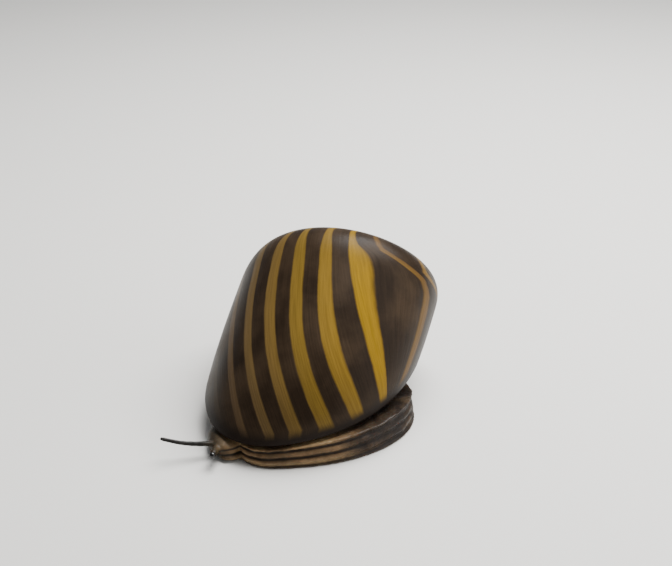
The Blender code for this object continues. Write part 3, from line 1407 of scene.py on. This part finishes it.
@dataclass
class Trunk:
    """The column of flesh on the foot, and the mantle that fills the shell's mouth."""

    foot: Foot
    lip: LipPlane
    aperture: Aperture
    middle: Vector = place_mm(1.25, -1.15, 0.0)
    half_width: float = 4.6 * MM
    half_length: float = 5.6 * MM
    lowest: float = 0.5 * MM
    waist: float = 0.06
    deck_gap: float = 0.3 * MM
    mantle_gap: float = 0.12 * MM
    ring_shares: tuple[float, ...] = (-0.5, 0.0, 0.25, 0.5, 0.75, 1.0, 1.5)

    def column(self) -> bpy.types.Object:
        """Builds the column, from inside the foot up into the mantle.

        Returns:
            The closed column.
        """
        cut = self.aperture
        room = cut.past_deck(cut.deck_point) - cut.wall - self.deck_gap
        rings = []
        for share in self.ring_shares:
            waist = 1.0 - self.waist * math.sin(math.pi * min(max(share, 0.0), 1.0))
            ring = Outline().points(self.middle, self.half_width * waist,
                                    self.half_length * waist, self.half_length * waist)
            for point in ring:
                past = cut.past_deck(point) - room
                if past > 0:
                    point -= cut.deck_normal * past
                low = self.foot.top(point.x, point.y)
                high = self.lip.z(point.x, point.y)
                point.z = max(low + (high - low) * share, self.lowest)
            rings.append(ring)
        return loft("column_part", rings)

    def mantle(self) -> bpy.types.Object:
        """Builds the mantle.

        Returns:
            The closed mantle.
        """
        cut = self.aperture
        inset = cut.wall + self.mantle_gap
        return loft("mantle_part", [
            cut.ring(inset, 0.0), cut.ring(inset + cut.taper, cut.depth - self.mantle_gap)])

    def build(self) -> list[bpy.types.Object]:
        """Returns the column and the mantle, built."""
        return [self.column(), self.mantle()]


@dataclass
class Feeler:
    """A round, tapering feeler along a smooth curve, with a rounded end.

    Its points are in millimetres.
    """

    points: Sequence[Sequence[float]]
    root: float
    tip: float
    steps_a_point: int = 12
    roundness: int = 6
    end_from: float = 0.94
    end_length: float = 0.06
    end_least: float = 0.2
    merge: float = 0.001 * MM

    def along(self, places: Sequence[Vector], share: float) -> Vector:
        """Finds a point of the smooth curve through the places.

        Args:
            places: The places that it passes, in metres.
            share: How far along it the point is, from 0 to 1.

        Returns:
            The point.
        """
        at = share * (len(places) - 1)
        i = min(int(at), len(places) - 2)
        t = at - i
        before = places[max(i - 1, 0)]
        start, end = places[i], places[i + 1]
        after = places[min(i + 2, len(places) - 1)]
        return 0.5 * (2 * start + (end - before) * t
                      + (2 * before - 5 * start + 4 * end - after) * t * t
                      + (3 * start - before - 3 * end + after) * t ** 3)

    def radius(self, share: float) -> float:
        """Tapers the feeler and rounds off its end.

        Args:
            share: How far along the feeler, from 0 to 1.

        Returns:
            The radius there.
        """
        past = max(0.0, (share - self.end_from) / self.end_length)
        closing = max(math.sqrt(max(0.0, 1 - past ** 2)), self.end_least)
        return (self.root + (self.tip - self.root) * share) * closing

    def build(self) -> bpy.types.Object:
        """Builds the feeler as a curve, turned into a mesh with its ends closed.

        Returns:
            The closed feeler.
        """
        curve = bpy.data.curves.new("feeler", "CURVE")
        curve.dimensions = "3D"
        curve.bevel_depth = 1.0
        curve.bevel_resolution = self.roundness
        curve.use_fill_caps = True
        spline = curve.splines.new("POLY")
        steps = self.steps_a_point * (len(self.points) - 1)
        spline.points.add(steps)
        places = [Vector(point) * MM for point in self.points]
        for i, spot in enumerate(spline.points):
            share = i / steps
            spot.co = (*self.along(places, share), 1.0)
            spot.radius = self.radius(share)
        made = bpy.data.objects.new("feeler", curve)
        bpy.context.scene.collection.objects.link(made)
        activate(made)
        bpy.ops.object.convert(target="MESH")
        bm = bmesh.new()
        bm.from_mesh(made.data)
        bmesh.ops.remove_doubles(bm, verts=bm.verts, dist=self.merge)
        bm.to_mesh(made.data)
        bm.free()
        return made


@dataclass
class Head:
    """The flat head: a blunt egg with a mouth, its lip, and the foot's lobe under it.

    The lip's margin is in millimetres, like a feeler's points.
    """

    middle: Vector = place_mm(7.6, -7.0, 0.9)
    half: Vector = place_mm(1.95, 1.45, 0.75)
    bluntness: float = 2.4
    lobe_middle: Vector = place_mm(7.6, -6.7, 0.36)
    lobe_half: Vector = place_mm(2.3, 1.35, 0.34)
    mouth_height: float = 0.35 * MM
    mouth_half: Vector = place_mm(0.8, 0.42, 0.17)
    lip_arch: float = 0.3 * MM
    lip_radius: float = 0.17 * MM
    lip_margin: float = 0.12
    lip_points: int = 7
    segments: int = 64
    rings: int = 32

    def egg(self, middle: Vector, half: Vector) -> bpy.types.Object:
        """Builds a blunt egg from a sphere.

        Args:
            middle: Its middle.
            half: Its reach along each axis.

        Returns:
            The closed egg.
        """
        deselect()
        bpy.ops.mesh.primitive_uv_sphere_add(
            segments=self.segments, ring_count=self.rings, radius=1.0)
        made = bpy.context.object
        power = self.bluntness
        for vert in made.data.vertices:
            reach = sum(abs(c) ** power for c in vert.co) ** (-1 / power)
            vert.co = Vector([c * reach * h for c, h in zip(vert.co, half)]) + middle
        return made

    def skull(self) -> bpy.types.Object:
        """Builds the head with its mouth cut into the snout.

        Returns:
            The closed head.
        """
        head = self.egg(self.middle, self.half)
        front = self.middle.y - self.half.y
        mouth = Vector((self.middle.x, front, self.mouth_height))
        combine(head, self.egg(mouth, self.mouth_half), Joining.CUT)
        return head

    def lips(self) -> bpy.types.Object:
        """Builds the fleshy lip that arches over the mouth.

        Returns:
            The closed lip.
        """
        margin = self.lip_margin * MM
        power = self.bluntness
        points = []
        for i in range(self.lip_points):
            angle = math.pi * i / (self.lip_points - 1)
            x = self.middle.x + math.cos(angle) * (self.mouth_half.x + margin)
            z = self.mouth_height + margin + math.sin(angle) * self.lip_arch
            across = abs(x - self.middle.x) / self.half.x
            y = self.middle.y - self.half.y * (1 - across ** power) ** (1 / power)
            points.append((x / MM, y / MM + self.lip_margin, z / MM))
        return Feeler(points, self.lip_radius, self.lip_radius).build()

    def build(self) -> list[bpy.types.Object]:
        """Returns the head, the lip and the foot's lobe, built."""
        return [self.skull(), self.lips(), self.egg(self.lobe_middle, self.lobe_half)]


@dataclass
class Feelers:
    """Both tentacles and both eyestalks.

    The left tentacle reaches out ahead, and the right one is drawn in under the lip. Points, and
    how far a stalk stops short of its eye and starts off the head's middle, are in millimetres.
    """

    head: Head
    left_tentacle: tuple[Place, ...] = (
        (8.55, -6.95, 1.1), (8.65, -9.1, 1.27), (8.72, -10.6, 1.55), (8.7, -12.25, 2.1))
    right_tentacle: tuple[Place, ...] = (
        (6.6, -7.6, 1.1), (5.1, -7.98, 1.1), (3.7, -7.95, 1.2), (2.3, -7.7, 1.35))
    tentacle_root: float = 0.24 * MM
    tentacle_tip: float = 0.165 * MM
    eyes: tuple[Place, ...] = ((10.38, -8.2, 1.25), (4.6, -7.12, 1.3))
    eye_radius: float = 0.26 * MM
    stalk_radius: float = 0.3 * MM
    stalk_root: tuple[float, float] = (0.8, -0.6)
    stalk_short: float = 0.1

    def stalk(self, eye: Sequence[float]) -> bpy.types.Object:
        """Builds the stalk from inside the head to an eye.

        Args:
            eye: The eye's middle.

        Returns:
            The closed stalk.
        """
        side = 1 if eye[0] > self.head.middle.x / MM else -1
        across, ahead = self.stalk_root
        root = self.head.middle / MM + Vector((side * across, ahead, 0.0))
        end = Vector(eye) - (Vector(eye) - root).normalized() * self.stalk_short
        return Feeler((root, end), self.stalk_radius, self.stalk_radius).build()

    def build(self) -> list[bpy.types.Object]:
        """Builds all four.

        Returns:
            The tentacles and then the stalks, each left first.
        """
        tentacles = [Feeler(points, self.tentacle_root, self.tentacle_tip).build()
                     for points in (self.left_tentacle, self.right_tentacle)]
        return tentacles + [self.stalk(eye) for eye in self.eyes]


@dataclass
class Skin:
    """All the flesh in one seamless surface: the pieces are joined and wrapped anew."""

    foot: Foot
    trunk: Trunk
    head: Head
    feelers: Feelers
    voxel: float = 0.11 * MM
    smoothing: float = 0.5
    smooth_rounds: int = 4

    def joined(self) -> bpy.types.Object:
        """Builds every piece of flesh and joins them into one object.

        Returns:
            The object, whose pieces still run into one another.
        """
        flesh = self.foot.build()
        pieces = self.trunk.build() + self.head.build() + self.feelers.build()
        deselect()
        for piece in pieces:
            piece.select_set(True)
        flesh.select_set(True)
        bpy.context.view_layer.objects.active = flesh
        bpy.ops.object.join()
        return flesh

    def build(self) -> bpy.types.Object:
        """Builds and dresses the skin.

        Returns:
            The finished skin.
        """
        skin = self.joined()
        apply_modifier(skin, "REMESH", mode="VOXEL", voxel_size=self.voxel)
        apply_modifier(skin, "SMOOTH", factor=self.smoothing, iterations=self.smooth_rounds)
        skin.name = "snail_skin"
        skin.data.name = "snail_skin"
        activate(skin)
        bpy.ops.object.shade_smooth()
        dress(skin, SkinFinish().build())
        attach(skin, "root")
        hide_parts("foot", "body_column", "mantle", "head", "snout",
                    "tentacle_left_base", "tentacle_left_middle", "tentacle_left_tip",
                    "tentacle_right_base", "tentacle_right_middle", "tentacle_right_tip",
                    "eyestalk_left", "eyestalk_right")
        LOG.info("skin: %d faces", len(skin.data.polygons))
        return skin


# Small hard pieces


@dataclass(frozen=True)
class PlainFinish:
    """A finish of one colour with faint darker clouds, for a small hard piece."""

    name: str
    colour: str
    roughness: float
    coat: float = 0.0
    cloud_colour: str = "#000000"
    cloud_size: float = 1.1 * MM
    clouds: Fade = Fade(0.3, 0.7, 0.0, 0.3)

    def build(self) -> bpy.types.Material:
        """Makes the material.

        Returns:
            The finish's material.
        """
        s = Shading(self.name)
        cloud = s.fade(s.noise(self.cloud_size, s.place()), self.clouds)
        base = s.mix(cloud, linear(self.colour), linear(self.cloud_colour))
        s.feed(s.shader, {"Base Color": base, "Roughness": self.roughness,
                          "Coat Weight": self.coat})
        return s.material


# A wet, black eye: a sharp small glint on a dark bead.
EYE_FINISH = PlainFinish("wet_black_eye", "#0b0a09", 0.1)

# A limy plate under a thin horny skin: pale brown, half matt, with a soft gloss over it.
OPERCULUM_FINISH = PlainFinish("limy_operculum_plate", "#5d4f3f", 0.35, 0.3)


@dataclass
class Eyes:
    """Two small glossy eyes on their stalks, at places in millimetres."""

    places: tuple[Place, ...]
    radius: float
    segments: int = 48
    rings: int = 24

    def build(self) -> None:
        """Builds and dresses both eyes."""
        finish = EYE_FINISH.build()
        for side, place in zip(("left", "right"), self.places):
            deselect()
            bpy.ops.mesh.primitive_uv_sphere_add(
                segments=self.segments, ring_count=self.rings, radius=self.radius)
            eye = bpy.context.object
            eye.data.transform(Matrix.Translation(Vector(place) * MM))
            eye.name = f"glossy_eye_{side}"
            bpy.ops.object.shade_smooth()
            dress(eye, finish)
            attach(eye, "root")
            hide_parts(f"eye_{side}")
            LOG.info("%s eye: %d faces", side, len(eye.data.polygons))


def dress_operculum() -> None:
    """Gives the operculum, which stays the CAD node, its finish."""
    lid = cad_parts["operculum"]
    dress(lid, OPERCULUM_FINISH.build())
    LOG.info("operculum: %d faces", len(lid.data.polygons))


# Studio


@dataclass(frozen=True)
class Lamp:
    """A square, soft light that points at the snail."""

    name: str
    place: Vector
    size: float
    power: float
    target: Vector = place_mm(0.0, 0.0, 5.0)

    def build(self) -> None:
        """Hangs the lamp."""
        data = bpy.data.lights.new(self.name, "AREA")
        data.size = self.size
        data.energy = self.power
        lamp = bpy.data.objects.new(self.name, data)
        lamp.location = self.place
        lamp.rotation_mode = "QUATERNION"
        lamp.rotation_quaternion = (self.target - self.place).to_track_quat("-Z", "Y")
        bpy.context.scene.collection.objects.link(lamp)


@dataclass
class Studio:
    """Pale paper floor, soft light and the photograph's camera."""

    camera_place: Vector = place_mm(89.89, -9.55, 54.83)
    camera_ahead: Vector = field(default_factory=lambda: Vector((-0.89, 0.1251, -0.4384)))
    lens: float = 64.3
    sensor: float = 36.0
    clip_start: float = 1 * MM
    floor_size: float = 1.2
    floor_colour: str = "#d8d6d1"
    floor_roughness: float = 0.7
    sky_colour: str = "#d9dde2"
    sky_strength: float = 0.35
    key: Lamp = field(default_factory=lambda: Lamp(
        "key", Vector((-40, 60, 150)) * MM, 130 * MM, 0.9))
    fill: Lamp = field(default_factory=lambda: Lamp(
        "fill", Vector((60, 130, 70)) * MM, 140 * MM, 0.12))

    def floor(self) -> None:
        """Lays the matt paper floor, which scatters light back under the snail."""
        deselect()
        bpy.ops.mesh.primitive_plane_add(size=self.floor_size)
        floor = bpy.context.object
        floor.name = "floor"
        s = Shading("matt_paper_floor")
        s.feed(s.shader, {"Base Color": linear(self.floor_colour),
                          "Roughness": self.floor_roughness})
        dress(floor, s.material)

    def sky(self) -> None:
        """Sets the even light from all round."""
        world = bpy.data.worlds.new("studio")
        world.use_nodes = True
        background = world.node_tree.nodes["Background"]
        background.inputs[0].default_value = linear(self.sky_colour)
        background.inputs[1].default_value = self.sky_strength
        bpy.context.scene.world = world

    def camera(self) -> None:
        """Sets up the camera at the photograph's place and angle."""
        data = bpy.data.cameras.new("camera")
        data.lens = self.lens
        data.sensor_width = self.sensor
        data.clip_start = self.clip_start
        camera = bpy.data.objects.new("camera", data)
        camera.location = self.camera_place
        camera.rotation_mode = "QUATERNION"
        camera.rotation_quaternion = self.camera_ahead.to_track_quat("-Z", "Y")
        bpy.context.scene.collection.objects.link(camera)
        bpy.context.scene.camera = camera

    def build(self) -> None:
        """Sets out the floor, the lights and the camera."""
        self.floor()
        self.sky()
        self.key.build()
        self.fill.build()
        self.camera()
        LOG.info("studio: floor, two lamps and the camera")


def main() -> None:
    """Builds the snail piece by piece, and then its studio."""
    coil = Coil()
    lip = LipPlane()
    aperture = Aperture(coil, lip)
    Shell(coil, lip, aperture).build()
    foot = Foot(lip)
    head = Head()
    feelers = Feelers(head)
    Skin(foot, Trunk(foot, lip, aperture), head, feelers).build()
    Eyes(feelers.eyes, feelers.eye_radius).build()
    dress_operculum()
    Studio().build()


if __name__ == "__main__":
    main()
